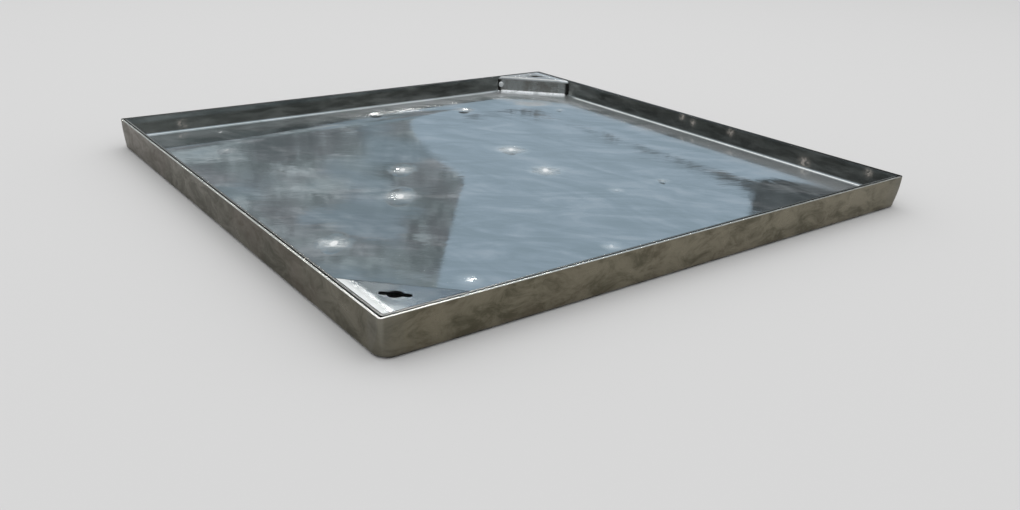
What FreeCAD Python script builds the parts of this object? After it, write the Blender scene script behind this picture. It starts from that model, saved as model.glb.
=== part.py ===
# Recessed paving cover in stainless steel: a square frame of folded angle, and a shallow folded tray that
# drops into it and carries the paving. Two opposite corners of the tray are boxed over with a keyhole plate
# for the lifting key. Shallow hat-section stiffeners are welded under the tray, which sits on a rubber seal.
# Millimetres. The origin is the centre of the frame's underside, +Z is up and the paving side is on top.

import FreeCAD, Part
import math
import os

import Sketcher
from FreeCAD import Placement, Rotation, Vector

doc = FreeCAD.newDocument("recessed_paving_cover")

# Driving dimensions, all in millimetres apart from the count
DIMENSIONS = (
    ("overall_length", 650.0),
    ("overall_width", 650.0),
    ("frame_height", 35.0),
    ("frame_sheet", 2.0),
    ("frame_bend_radius", 2.0),
    ("flange_width", 25.0),
    ("corner_foot_radius", 18.0),
    ("corner_rim_radius", 3.0),
    ("tray_gap", 1.5),
    ("tray_sheet", 2.0),
    ("tray_bend_radius", 3.0),
    ("tray_rim_radius", 3.0),
    ("seal_corner_gap", 1.0),
    ("seal_width", 16.0),
    ("seal_thickness", 7.5),
    ("plate_leg", 90.0),
    ("plate_sheet", 2.0),
    ("plate_bend_radius", 2.0),
    ("plate_apex_radius", 2.0),
    ("plate_side_gap", 0.5),
    ("foot_notch", 6.0),
    ("foot_weld_leg", 2.5),
    ("key_offset", 30.0),
    ("key_round_diameter", 13.0),
    ("key_slot_length", 26.0),
    ("key_slot_width", 6.0),
    ("stiffener_count", 6.0),
    ("stiffener_edge_distance", 65.0),
    ("stiffener_end_gap", 5.0),
    ("stiffener_sheet", 1.5),
    ("stiffener_bend_radius", 1.5),
    ("stiffener_crown_width", 24.0),
    ("stiffener_flange_width", 12.0),
    ("stiffener_floor_gap", 0.5),
)

dims = doc.addObject("Spreadsheet::Sheet", "dims")
for row, (alias, value) in enumerate(DIMENSIONS, start=1):
    dims.set(f"A{row}", alias)
    dims.set(f"B{row}", str(value))
    dims.setAlias(f"B{row}", alias)
doc.recompute()

# How the sketcher numbers the points of a line or arc, its own axes, and its origin
START, END, CENTRE = range(1, 4)
X_AXIS, Y_AXIS = range(-1, -3, -1)
ORIGIN = (X_AXIS, START)

# The slab that carries a bend is this much thicker than the bend's radius
SLAB_OVER_BEND = "1.25"

# An upright corner is made in this many bands between the bend and the rim
CORNER_BANDS = 5

# Expressions that several pieces share
TRAY_INSET = "(dims.frame_sheet + dims.tray_gap)"
RECESS_INSET = "(dims.frame_sheet + dims.tray_gap + dims.tray_sheet)"
TRAY_BASE = "(dims.frame_sheet + dims.seal_thickness)"
RECESS_FLOOR = "(dims.frame_sheet + dims.seal_thickness + dims.tray_sheet)"
RECESS_DEPTH = f"(dims.frame_height - {RECESS_FLOOR})"
PLATE_REACH = "(dims.plate_leg / sqrt(2))"
PLATE_APEX = f"(({RECESS_INSET} + dims.plate_side_gap) * sqrt(2))"
PLATE_HALF = f"({PLATE_REACH} - {PLATE_APEX})"
FOOT_HALF = f"({PLATE_HALF} - dims.foot_notch)"
INNER_FOOT_RADIUS = "(dims.corner_foot_radius - dims.frame_sheet)"
INNER_RIM_RADIUS = "(dims.corner_rim_radius - dims.frame_sheet)"


def new_body(name):
    """A PartDesign body whose label names the piece."""
    body = doc.addObject("PartDesign::Body", name)
    body.Label = name
    return body


def new_sketch(body, name, plane="XY_Plane", height=None):
    """A sketch on one of the body's origin planes, raised along the plane's normal by an expression."""
    sketch = body.newObject("Sketcher::SketchObject", name)
    origin = next(f for f in body.Origin.OriginFeatures if f.Role == plane)
    sketch.AttachmentSupport = [(origin, "")]
    sketch.MapMode = "FlatFace"
    if height:
        sketch.setExpression("AttachmentOffset.Base.z", height)
    return sketch


def constrain(sketch, kind, *where, name=None, to=None):
    """Adds one constraint. A sized one gets a name and is bound to an expression."""
    index = sketch.addConstraint(Sketcher.Constraint(kind, *where))
    if name:
        sketch.renameConstraint(index, name)
        sketch.setExpression(f"Constraints.{name}", to)


def outline(body, name, points, plane="XY_Plane", height=None):
    """A closed outline of straight lines, each corner placed from the origin by two expressions."""
    sketch = new_sketch(body, name, plane, height)
    count = len(points)
    turns = [2 * math.pi * corner / count for corner in range(count)]
    rough = [Vector(math.cos(turn), math.sin(turn), 0) for turn in turns]
    for index, here in enumerate(rough):
        sketch.addGeometry(Part.LineSegment(here, rough[(index + 1) % count]), False)
    for index in range(count):
        constrain(sketch, "Coincident", index, END, (index + 1) % count, START)
    for index, (across, up) in enumerate(points):
        constrain(sketch, "DistanceX", *ORIGIN, index, START, 1.0, name=f"x{index}", to=across)
        constrain(sketch, "DistanceY", *ORIGIN, index, START, 1.0, name=f"y{index}", to=up)
    return sketch


def rounded_rectangle(body, name, length, width, radius, height=None):
    """A rectangle centred on the origin with four equal rounded corners, given by expressions. It is drawn
    roughly to size, and the constraints then pull it to the values that the expressions give."""
    sketch = new_sketch(body, name, height=height)
    half_x, half_y, r = dims.overall_length / 2, dims.overall_width / 2, dims.corner_foot_radius
    ends = [
        ((r - half_x, -half_y), (half_x - r, -half_y)),
        ((half_x, r - half_y), (half_x, half_y - r)),
        ((half_x - r, half_y), (r - half_x, half_y)),
        ((-half_x, half_y - r), (-half_x, r - half_y)),
    ]
    for number, (here, there) in enumerate(ends):
        sketch.addGeometry(Part.LineSegment(Vector(*here, 0), Vector(*there, 0)), False)
        across = 1 if number in (0, 1) else -1
        up = 1 if number in (1, 2) else -1
        centre = Vector(across * (half_x - r), up * (half_y - r), 0)
        start = math.radians(90 * number - 90)
        corner = Part.ArcOfCircle(Part.Circle(centre, Vector(0, 0, 1), r), start, start + math.pi / 2)
        sketch.addGeometry(corner, False)
    for number in range(4):
        line, arc, following = 2 * number, 2 * number + 1, (2 * number + 2) % 8
        constrain(sketch, "Tangent", line, END, arc, START)
        constrain(sketch, "Tangent", arc, END, following, START)
    for arc in (3, 5, 7):
        constrain(sketch, "Equal", 1, arc)
    constrain(sketch, "Symmetric", 0, START, 0, END, Y_AXIS)
    constrain(sketch, "Symmetric", 2, START, 2, END, X_AXIS)
    constrain(sketch, "Horizontal", 4)
    constrain(sketch, "Vertical", 6)
    constrain(sketch, "Radius", 1, r, name="radius", to=radius)
    constrain(sketch, "DistanceX", 6, START, 2, START, 2 * half_x, name="length", to=length)
    constrain(sketch, "DistanceY", 0, START, 4, START, 2 * half_y, name="width", to=width)
    return sketch


def pad(body, name, sketch, length, midplane=False):
    """Extrudes a sketch along its normal, or evenly to both sides of its plane."""
    feature = body.newObject("PartDesign::Pad", name)
    feature.Profile = sketch
    feature.Midplane = midplane
    feature.setExpression("Length", length)
    doc.recompute()
    return feature


def pocket(body, name, sketch):
    """Cuts a sketch right through the body, to both sides of its plane."""
    before = body.Shape.Volume
    feature = body.newObject("PartDesign::Pocket", name)
    feature.Profile = sketch
    feature.Type = "ThroughAll"
    feature.Midplane = True
    doc.recompute()
    if not body.Shape.Volume < before:
        raise RuntimeError(f"{name} cut nothing")
    return feature


def fillet(body, name, wanted, radius):
    """Rounds the edges of the body's tip that a test picks by their bounding boxes."""
    tip = body.Tip
    picked = [f"Edge{n}" for n, edge in enumerate(tip.Shape.Edges, start=1) if wanted(edge.BoundBox)]
    if not picked:
        raise RuntimeError(f"{name} found no edge")
    feature = body.newObject("PartDesign::Fillet", name)
    feature.Base = (tip, picked)
    feature.setExpression("Radius", radius)
    doc.recompute()
    return feature


def near(*pairs):
    """True where the two numbers of each pair are the same within rounding."""
    return all(abs(first - second) < 1e-3 for first, second in pairs)


def corner_radius(foot_radius, rim_radius, level):
    """The radius of an upright corner at a level. It is wide at the ground, closes quickly above it and is
    nearly as tight as at the rim from halfway up."""
    left_to_rim = f"(1 - ({level}) / dims.frame_height)"
    return f"(({rim_radius}) + (({foot_radius}) - ({rim_radius})) * {left_to_rim}^2)"


def over_bend(base, bend_radius):
    """The level where a form's upright part starts, just above the bend of its lower edge."""
    return f"({base} + {SLAB_OVER_BEND} * ({bend_radius}))"


def make_form(name, inset, base, foot_radius, rim_radius, bend_radius):
    """A shallow block, set in from the frame's outside. Its lower edge is rounded all the way round, and its
    upright corners narrow from a wide round above that edge to a tight one at the rim."""
    body = new_body(name)
    length = f"dims.overall_length - 2 * {inset}"
    width = f"dims.overall_width - 2 * {inset}"
    bend_top = over_bend(base, bend_radius)
    slab_radius = corner_radius(foot_radius, rim_radius, bend_top)
    foot = rounded_rectangle(body, f"{name}_foot", length, width, slab_radius, base)
    slab = pad(body, f"{name}_slab", foot, f"{bend_top} - {base}").Shape.BoundBox
    fillet(body, f"{name}_bend", lambda box: near((box.ZMax, slab.ZMin)), bend_radius)
    sections = []
    for band in range(CORNER_BANDS + 1):
        level = f"{bend_top} + (dims.frame_height - {bend_top}) * {band / CORNER_BANDS}"
        radius = corner_radius(foot_radius, rim_radius, level)
        sections.append(rounded_rectangle(body, f"{name}_level_{band}", length, width, radius, level))
    upright = body.newObject("PartDesign::AdditiveLoft", f"{name}_upright")
    upright.Profile = sections[0]
    upright.Sections = sections[1:]
    upright.Ruled = True
    doc.recompute()
    return body


def cut(name, base, tool):
    """One solid less another."""
    result = doc.addObject("Part::Cut", name)
    result.Base = base
    result.Tool = tool
    result.Label = name
    return result


def make_frame_ring():
    """The whole frame before it is cut at the mitres: upright walls with an inward flange below."""
    sheet, bend = "dims.frame_sheet", "dims.frame_bend_radius"
    foot, rim = "dims.corner_foot_radius", "dims.corner_rim_radius"
    outside = make_form("frame_outside", "0", "0", foot, rim, f"{bend} + {sheet}")
    inside = make_form("frame_inside", sheet, sheet, INNER_FOOT_RADIUS, INNER_RIM_RADIUS, bend)
    opening = doc.addObject("Part::Box", "frame_opening")
    opening.setExpression("Length", "dims.overall_length - 2 * dims.flange_width")
    opening.setExpression("Width", "dims.overall_width - 2 * dims.flange_width")
    opening.setExpression("Height", "2 * dims.frame_sheet")
    opening.setExpression("Placement.Base.x", "dims.flange_width - dims.overall_length / 2")
    opening.setExpression("Placement.Base.y", "dims.flange_width - dims.overall_width / 2")
    return cut("frame_ring", cut("frame_hollow", outside, inside), opening)


def make_frame_rail(ring, side, turn, along, across):
    """One rail of the frame, cut from the ring between the mitres at its two ends."""
    reach = "2 * dims.flange_width"
    mitre = doc.addObject("Part::Wedge", f"mitre_{side}")
    for end, sign in (("min", "-"), ("max", "")):
        mitre.setExpression(f"X{end}", f"{sign}(dims.{along} / 2 + {reach})")
        mitre.setExpression(f"X2{end}", f"{sign}(dims.{along} / 2 - {reach})")
    mitre.setExpression("Ymin", f"-dims.{across} / 2 - {reach}")
    mitre.setExpression("Ymax", f"-dims.{across} / 2 + {reach}")
    for low, high in (("Zmin", "Zmax"), ("Z2min", "Z2max")):
        mitre.setExpression(low, "-dims.frame_height")
        mitre.setExpression(high, "2 * dims.frame_height")
    mitre.Placement = Placement(Vector(), Rotation(Vector(0, 0, 1), turn))
    rail = doc.addObject("Part::Common", f"frame_rail_{side}")
    rail.Base = ring
    rail.Tool = mitre
    rail.Label = f"frame_rail_{side}"
    return rail


def seal_inset():
    """How far the seal is from the frame's outside: its corners lie on the flange's flat part, a gap away
    from the rounded inner corners."""
    level = over_bend("dims.frame_sheet", "dims.frame_bend_radius")
    bend_inset = "(dims.frame_sheet + dims.frame_bend_radius)"
    corner = corner_radius(INNER_FOOT_RADIUS, INNER_RIM_RADIUS, level)
    return f"({bend_inset} + (1 - sqrt(2) / 2) * ({corner} - dims.frame_bend_radius) + dims.seal_corner_gap)"


def make_seal_strip(side):
    """A rubber strip lying on the frame's flange. The front and back ones run the full length, and the left
    and right ones butt against them."""
    inset = seal_inset()
    strip = doc.addObject("Part::Box", f"seal_strip_{side}")
    strip.Label = f"seal_strip_{side}"
    strip.setExpression("Height", "dims.seal_thickness")
    strip.setExpression("Placement.Base.z", "dims.frame_sheet")
    inside = f"({inset} + dims.seal_width)"
    left, right = f"-dims.overall_length / 2 + {inset}", f"dims.overall_length / 2 - {inside}"
    front, back = f"-dims.overall_width / 2 + {inset}", f"dims.overall_width / 2 - {inside}"
    if side in ("front", "back"):
        strip.setExpression("Length", f"dims.overall_length - 2 * {inset}")
        strip.setExpression("Width", "dims.seal_width")
        strip.setExpression("Placement.Base.x", left)
        strip.setExpression("Placement.Base.y", front if side == "front" else back)
    else:
        strip.setExpression("Length", "dims.seal_width")
        strip.setExpression("Width", f"dims.overall_width - 2 * {inside}")
        strip.setExpression("Placement.Base.x", left if side == "left" else right)
        strip.setExpression("Placement.Base.y", f"{front} + dims.seal_width")
    return strip


def make_tray_pan():
    """The tray: one sheet folded up on four sides, its corners closed and shaped to follow the frame's."""
    foot, rim = f"dims.corner_foot_radius - {TRAY_INSET}", "dims.tray_rim_radius"
    outside = make_form(
        "tray_outside", TRAY_INSET, TRAY_BASE, foot, rim, "dims.tray_bend_radius + dims.tray_sheet"
    )
    recess = make_form(
        "tray_recess",
        RECESS_INSET,
        RECESS_FLOOR,
        f"{foot} - dims.tray_sheet",
        f"{rim} - dims.tray_sheet",
        "dims.tray_bend_radius",
    )
    return cut("tray_pan", outside, recess)


def stand_in_corner(body, side):
    """Puts a body's origin under the frame's near or far corner, its X axis pointing to the middle."""
    sign = "-" if side == "near" else ""
    body.setExpression("Placement.Base.x", f"{sign}dims.overall_length / 2")
    body.setExpression("Placement.Base.y", f"{sign}dims.overall_width / 2")
    body.Placement = Placement(body.Placement.Base, Rotation(Vector(0, 0, 1), 45 if side == "near" else 225))


def make_keyhole(body, side):
    """Cuts the round hole and the slot across it, which runs along the plate's long side."""
    centre = "dims.key_offset * sqrt(2)"
    round_sketch = new_sketch(body, f"key_round_sketch_{side}", height="dims.frame_height")
    across = dims.key_round_diameter
    round_sketch.addGeometry(Part.Circle(Vector(), Vector(0, 0, 1), across / 2), False)
    constrain(round_sketch, "Coincident", 0, CENTRE, *ORIGIN)
    constrain(round_sketch, "Diameter", 0, across, name="across", to="dims.key_round_diameter")
    round_sketch.setExpression("AttachmentOffset.Base.x", centre)
    pocket(body, f"key_round_{side}", round_sketch)
    slot = new_sketch(body, f"key_slot_sketch_{side}", height="dims.frame_height")
    radius = dims.key_slot_width / 2
    reach = dims.key_slot_length / 2 - radius
    for end, start in ((1, 0.0), (-1, math.pi)):
        arc = Part.Circle(Vector(0, end * reach, 0), Vector(0, 0, 1), radius)
        slot.addGeometry(Part.ArcOfCircle(arc, start, start + math.pi), False)
    slot.addGeometry(Part.LineSegment(Vector(-radius, reach, 0), Vector(-radius, -reach, 0)), False)
    slot.addGeometry(Part.LineSegment(Vector(radius, -reach, 0), Vector(radius, reach, 0)), False)
    constrain(slot, "Tangent", 0, END, 2, START)
    constrain(slot, "Tangent", 2, END, 1, START)
    constrain(slot, "Tangent", 1, END, 3, START)
    constrain(slot, "Tangent", 3, END, 0, START)
    constrain(slot, "Symmetric", 0, CENTRE, 1, CENTRE, *ORIGIN)
    constrain(slot, "PointOnObject", 0, CENTRE, Y_AXIS)
    constrain(slot, "Radius", 0, radius, name="half_width", to="dims.key_slot_width / 2")
    between = "dims.key_slot_length - dims.key_slot_width"
    constrain(slot, "DistanceY", 1, CENTRE, 0, CENTRE, 2 * reach, name="between", to=between)
    slot.setExpression("AttachmentOffset.Base.x", centre)
    pocket(body, f"key_slot_{side}", slot)


def make_key_plate(side):
    """The cover over one corner of the tray: a three-sided plate at rim level with a keyhole, folded down
    along its long side into a wall that stands on the tray's floor."""
    body = new_body(f"key_plate_{side}")
    corners = [(PLATE_APEX, "0"), (PLATE_REACH, f"-{PLATE_HALF}"), (PLATE_REACH, PLATE_HALF)]
    plan = outline(body, f"plate_plan_{side}", corners, height=RECESS_FLOOR)
    block = pad(body, f"plate_block_{side}", plan, RECESS_DEPTH).Shape.BoundBox
    fillet(
        body,
        f"plate_fold_{side}",
        lambda box: near((box.XMin, block.XMax), (box.ZMin, block.ZMax)),
        "dims.plate_bend_radius + dims.plate_sheet",
    )
    fillet(
        body,
        f"plate_apex_{side}",
        lambda box: near((box.XMax, block.XMin)),
        "dims.plate_apex_radius",
    )
    under, behind = "(dims.frame_height - dims.plate_sheet)", f"({PLATE_REACH} - dims.plate_sheet)"
    corners = [("0", "0"), (behind, "0"), (behind, under), ("0", under)]
    hollow = outline(body, f"plate_hollow_{side}", corners, plane="XZ_Plane")
    pocket(body, f"plate_underside_{side}", hollow)
    inner_fold = block.XMax - dims.plate_sheet, block.ZMax - dims.plate_sheet
    fillet(
        body,
        f"plate_inner_fold_{side}",
        lambda box: near((box.XMin, inner_fold[0]), (box.XMax, inner_fold[0]), (box.ZMin, inner_fold[1])),
        "dims.plate_bend_radius",
    )
    floor, notch_top = RECESS_FLOOR, f"{RECESS_FLOOR} + dims.foot_notch"
    for end, sign in (("right", "-"), ("left", "")):
        corners = [
            (f"{sign}{FOOT_HALF}", floor),
            (f"{sign}({PLATE_HALF} + 1)", floor),
            (f"{sign}({PLATE_HALF} + 1)", notch_top),
            (f"{sign}{PLATE_HALF}", notch_top),
        ]
        notch = outline(body, f"notch_{end}_{side}", corners, plane="YZ_Plane")
        pocket(body, f"foot_notch_{end}_{side}", notch)
    make_keyhole(body, side)
    stand_in_corner(body, side)
    return body


def make_foot_weld(side):
    """The bead that joins the foot of a key plate's wall to the tray's floor, on the paving side."""
    body = new_body(f"foot_weld_{side}")
    corners = [
        (PLATE_REACH, RECESS_FLOOR),
        (f"{PLATE_REACH} + dims.foot_weld_leg", RECESS_FLOOR),
        (PLATE_REACH, f"{RECESS_FLOOR} + dims.foot_weld_leg"),
    ]
    section = outline(body, f"weld_section_{side}", corners, plane="XZ_Plane")
    pad(body, f"weld_bead_{side}", section, f"2 * {FOOT_HALF}", midplane=True)
    stand_in_corner(body, side)
    return body


def make_stiffener(number):
    """A hat section welded flat to the tray's underside by its two flanges, with its crown hanging down
    inside the frame's clear opening."""
    body = new_body(f"stiffener_{number + 1}")
    crown = "dims.stiffener_crown_width / 2"
    brim = f"({crown} + dims.stiffener_flange_width)"
    sheet = "dims.stiffener_sheet"
    bottom = "dims.stiffener_floor_gap"
    flange = f"({TRAY_BASE} - {sheet})"
    upper = [
        (brim, TRAY_BASE),
        (f"({crown} - {sheet})", TRAY_BASE),
        (f"({crown} - {sheet})", f"({bottom} + {sheet})"),
    ]
    lower = [(crown, bottom), (crown, flange), (brim, flange)]
    far_upper = [(f"-{across}", up) for across, up in reversed(upper)]
    far_lower = [(f"-{across}", up) for across, up in reversed(lower)]
    corners = upper + far_upper + far_lower + lower
    section = outline(body, f"hat_section_{number + 1}", corners, plane="YZ_Plane")
    length = "dims.overall_length - 2 * dims.flange_width - 2 * dims.stiffener_end_gap"
    pad(body, f"hat_{number + 1}", section, length, midplane=True)
    half_crown = dims.stiffener_crown_width / 2
    lowest = body.Shape.BoundBox.ZMin
    highest = body.Shape.BoundBox.ZMax
    inner_level = lowest + dims.stiffener_sheet
    flange_level = highest - dims.stiffener_sheet
    outer_places = ((half_crown, lowest), (half_crown - dims.stiffener_sheet, highest))
    inner_places = ((half_crown - dims.stiffener_sheet, inner_level), (half_crown, flange_level))

    def along_at(places):
        return lambda box: box.XLength > half_crown and any(
            near((abs(box.YMin), y), (abs(box.YMax), y), (box.ZMin, z)) for y, z in places
        )

    outer_bend = f"dims.stiffener_bend_radius + {sheet}"
    fillet(body, f"hat_outer_bends_{number + 1}", along_at(outer_places), outer_bend)
    fillet(body, f"hat_inner_bends_{number + 1}", along_at(inner_places), "dims.stiffener_bend_radius")
    span = "(dims.overall_width - 2 * dims.stiffener_edge_distance)"
    first = "(dims.stiffener_edge_distance - dims.overall_width / 2)"
    body.setExpression("Placement.Base.y", f"{first} + {number} * {span} / (dims.stiffener_count - 1)")
    return body


ring = make_frame_ring()
rails = [
    make_frame_rail(ring, "front", 0, "overall_length", "overall_width"),
    make_frame_rail(ring, "right", 90, "overall_width", "overall_length"),
    make_frame_rail(ring, "back", 180, "overall_length", "overall_width"),
    make_frame_rail(ring, "left", 270, "overall_width", "overall_length"),
]
seals = [make_seal_strip(side) for side in ("front", "right", "back", "left")]
tray = [make_tray_pan()]
plates = [make_key_plate(side) for side in ("near", "far")]
welds = [make_foot_weld(side) for side in ("near", "far")]
stiffeners = [make_stiffener(number) for number in range(round(dims.stiffener_count))]
sub_parts = rails + seals + tray + plates + welds + stiffeners

doc.recompute()
for item in doc.Objects:
    if "Invalid" in item.State or "Error" in item.State:
        raise RuntimeError(f"{item.Name} failed: {item.State}")
for part in sub_parts:
    if part.Shape.isNull() or not part.Shape.isValid() or len(part.Shape.Solids) != 1:
        raise RuntimeError(f"{part.Label} is not one valid solid")

os.makedirs("parts", exist_ok=True)
for part in sub_parts:
    part.Shape.exportStep(f"parts/{part.Label}.step")
    size = part.Shape.BoundBox
    print(
        f"{part.Label}: {size.XLength:.1f} x {size.YLength:.1f} x {size.ZLength:.1f} mm, "
        f"z {size.ZMin:.2f} to {size.ZMax:.2f}, {part.Shape.Volume / 1000:.2f} cm3"
    )
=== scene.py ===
"""Recessed paving cover in bare stainless sheet: how its frame, tray and lifting corners look."""

from __future__ import annotations

import functools
import logging
import math
from dataclasses import dataclass
from enum import Enum

import bmesh
import bpy
from mathutils import Matrix, Vector


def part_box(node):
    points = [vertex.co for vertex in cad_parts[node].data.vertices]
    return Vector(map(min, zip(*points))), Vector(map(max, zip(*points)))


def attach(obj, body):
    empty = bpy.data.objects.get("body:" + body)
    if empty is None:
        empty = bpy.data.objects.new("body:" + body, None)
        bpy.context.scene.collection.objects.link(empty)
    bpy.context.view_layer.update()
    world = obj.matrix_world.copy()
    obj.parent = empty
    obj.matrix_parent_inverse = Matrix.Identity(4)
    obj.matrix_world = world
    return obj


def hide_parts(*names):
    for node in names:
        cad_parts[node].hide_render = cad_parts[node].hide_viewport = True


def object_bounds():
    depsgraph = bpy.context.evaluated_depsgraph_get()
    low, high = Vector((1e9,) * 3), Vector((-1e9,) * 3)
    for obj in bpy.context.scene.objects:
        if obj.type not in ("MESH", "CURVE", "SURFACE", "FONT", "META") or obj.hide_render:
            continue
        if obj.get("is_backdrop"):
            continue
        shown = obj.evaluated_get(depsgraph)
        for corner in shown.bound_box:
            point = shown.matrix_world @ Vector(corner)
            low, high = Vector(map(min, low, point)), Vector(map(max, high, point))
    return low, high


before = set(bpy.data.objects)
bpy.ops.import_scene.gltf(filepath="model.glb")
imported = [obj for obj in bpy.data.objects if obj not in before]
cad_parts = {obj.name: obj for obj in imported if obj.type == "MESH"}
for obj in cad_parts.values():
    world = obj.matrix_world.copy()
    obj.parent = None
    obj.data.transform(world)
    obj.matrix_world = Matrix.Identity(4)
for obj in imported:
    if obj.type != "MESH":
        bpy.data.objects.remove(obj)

LOG = logging.getLogger("recessed_cover")
MM = 0.001
WIPE_TURN = -37.0  # the way the sheet was wiped, in degrees from X
Socket = bpy.types.NodeSocket
Material = bpy.types.Material
Piece = bpy.types.Object
Shape = bmesh.types.BMesh
Triple = tuple[float, float, float]
Colour = Triple


class Corner(Enum):
    """The two tray corners that are boxed over, by the direction from the middle of the cover."""

    NEAR = -1
    FAR = 1


class Side(Enum):
    """The four sides of the frame, by their node names."""

    FRONT = "front"
    RIGHT = "right"
    BACK = "back"
    LEFT = "left"


@dataclass(frozen=True)
class CoverSizes:
    """The cover's own sizes in metres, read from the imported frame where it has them."""

    half: float = 325 * MM
    height: float = 35 * MM
    floor: float = 11.5 * MM
    recess_inset: float = 5.5 * MM
    plate_leg: float = 90 * MM
    foot_notch: float = 6 * MM
    weld_leg: float = 2.5 * MM

    @staticmethod
    def from_frame() -> CoverSizes:
        """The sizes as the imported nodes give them.

        Returns:
            Sizes whose half side, height and floor level are those of the CAD nodes.
        """
        low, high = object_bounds()
        plate_low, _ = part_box("key_plate_near")
        return CoverSizes(half=high.x, height=high.z - low.z, floor=plate_low.z)

    def corner(self, which: Corner) -> Vector:
        """The outside corner of the frame, at floor level of the tray."""
        return Vector((which.value * self.half, which.value * self.half, self.floor))

    def on_rim(self, sh: Shader, height: Socket) -> Socket:
        """1 on a sheet's cut edge at the rim, and 0 below it."""
        return sh.ramp(height, self.height - 0.5 * MM, self.height - 0.1 * MM)


@dataclass(frozen=True)
class Pattern:
    """A cloudy pattern: its cells to a metre, how many finer layers it has and how strong they are,
    how much it swirls, how long it gets along its own axes, and their turn about Z, in degrees."""

    scale: float
    detail: float = 2.0
    rough: float = 0.5
    swirl: float = 0.0
    lengths: Triple | None = None
    turn: float = 0.0


class Shader:
    """A small helper that lays out one material's or world's nodes and links them."""

    def __init__(self, tree: bpy.types.NodeTree) -> None:
        """Starts on a node tree, whose nodes are cleared."""
        self.tree = tree
        tree.nodes.clear()

    def node(
        self, kind: str, inputs: dict[str | int, object] | None = None, **settings: object
    ) -> bpy.types.Node:
        """Adds a node.

        Args:
            kind: Its type, without the leading ShaderNode.
            inputs: What goes into it: output sockets, numbers, vectors or colours.
            settings: Attributes to set on it.

        Returns:
            The new node.
        """
        made = self.tree.nodes.new(f"ShaderNode{kind}")
        for name, value in settings.items():
            setattr(made, name, value)
        for name, value in (inputs or {}).items():
            socket = made.inputs[name]
            if isinstance(value, Socket):
                self.tree.links.new(value, socket)
            elif socket.type == "RGBA":
                socket.default_value = (*value, 1.0)
            else:
                socket.default_value = value
        return made

    def math(self, operation: str, *values: object, clamp: bool = False) -> Socket:
        """Combines one to three numbers, kept between 0 and 1 if clamp is set."""
        inputs = dict(enumerate(values))
        return self.node("Math", inputs, operation=operation, use_clamp=clamp).outputs[0]

    def plus(self, first: object, second: object) -> Socket:
        """The sum of two numbers."""
        return self.math("ADD", first, second)

    def less(self, first: object, second: object) -> Socket:
        """The first number with the second taken off."""
        return self.math("SUBTRACT", first, second)

    def times(self, first: object, second: object) -> Socket:
        """The product of two numbers."""
        return self.math("MULTIPLY", first, second)

    def rest(self, share: object) -> Socket:
        """What is left of 1 when a share is taken off."""
        return self.math("SUBTRACT", 1.0, share)

    def swing(self, pattern: Socket, reach: float) -> Socket:
        """A pattern between 0 and 1 turned into a number on both sides of 0."""
        return self.times(self.less(pattern, 0.5), reach)

    def ramp(
        self, value: object, low: float, high: float, start: float = 0.0, end: float = 1.0
    ) -> Socket:
        """A smooth step of a number.

        Args:
            value: The number.
            low: Where the step starts.
            high: Where it ends.
            start: The result below low.
            end: The result above high.

        Returns:
            The stepped value.
        """
        inputs = {"Value": value, "From Min": low, "From Max": high, "To Min": start, "To Max": end}
        made = self.node("MapRange", inputs, interpolation_type="SMOOTHSTEP", clamp=True)
        return made.outputs["Result"]

    def mix(self, factor: object, first: object, second: object) -> Socket:
        """Blends two colours: a factor of 0 gives the first and 1 the second."""
        inputs = {0: factor, 6: first, 7: second}
        return self.node("Mix", inputs, data_type="RGBA", clamp_factor=True).outputs[2]

    def object_point(self) -> Socket:
        """The place of the shaded point in the cover's own coordinates, in metres."""
        return self.node("TexCoord").outputs["Object"]

    def drawn_out(self, point: Socket, lengths: Triple, turn: float) -> Socket:
        """Coordinates for a pattern drawn out along its own axes, turned about Z in degrees."""
        inputs = {"Vector": point, "Scale": lengths, "Rotation": (0.0, 0.0, math.radians(turn))}
        return self.node("Mapping", inputs, vector_type="TEXTURE").outputs[0]

    def noise(self, point: Socket, pattern: Pattern) -> Socket:
        """Lays out a cloudy pattern.

        Args:
            point: The coordinates it reads.
            pattern: Its settings.

        Returns:
            Its value, between 0 and 1.
        """
        if pattern.lengths is not None:
            point = self.drawn_out(point, pattern.lengths, pattern.turn)
        inputs = {"Vector": point, "Scale": pattern.scale, "Detail": pattern.detail}
        inputs |= {"Roughness": pattern.rough, "Distortion": pattern.swirl}
        return self.node("TexNoise", inputs).outputs["Fac"]

    def bump(self, height: Socket, depth: float, under: Socket | None = None) -> Socket:
        """Turns a height pattern into a bumped normal.

        Args:
            height: The pattern, 0 to 1.
            depth: The height of 1, in metres.
            under: The normal that it is laid over.

        Returns:
            The normal.
        """
        inputs = {"Height": height, "Distance": depth, "Strength": 1.0}
        if under is not None:
            inputs["Normal"] = under
        return self.node("Bump", inputs).outputs[0]

    def axes(self, point: Socket) -> tuple[Socket, Socket, Socket]:
        """Splits coordinates into X, Y and Z."""
        return tuple(self.node("SeparateXYZ", {0: point}).outputs)

    def vector(self, x: object, y: object, z: object) -> Socket:
        """Joins three numbers into coordinates."""
        return self.node("CombineXYZ", {0: x, 1: y, 2: z}).outputs[0]

    def along(self, point: Socket, way: Triple) -> Socket:
        """How far a point is along a direction."""
        made = self.node("VectorMath", {0: point, 1: way}, operation="DOT_PRODUCT")
        return made.outputs["Value"]

    def away_from(self, point: Socket, centre: Triple) -> Socket:
        """The distance of a point from a centre, in metres."""
        made = self.node("VectorMath", {0: point, 1: centre}, operation="DISTANCE")
        return made.outputs["Value"]

    def most(self, *values: object) -> Socket:
        """The largest of several values."""
        return functools.reduce(lambda found, value: self.math("MAXIMUM", found, value), values)

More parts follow.
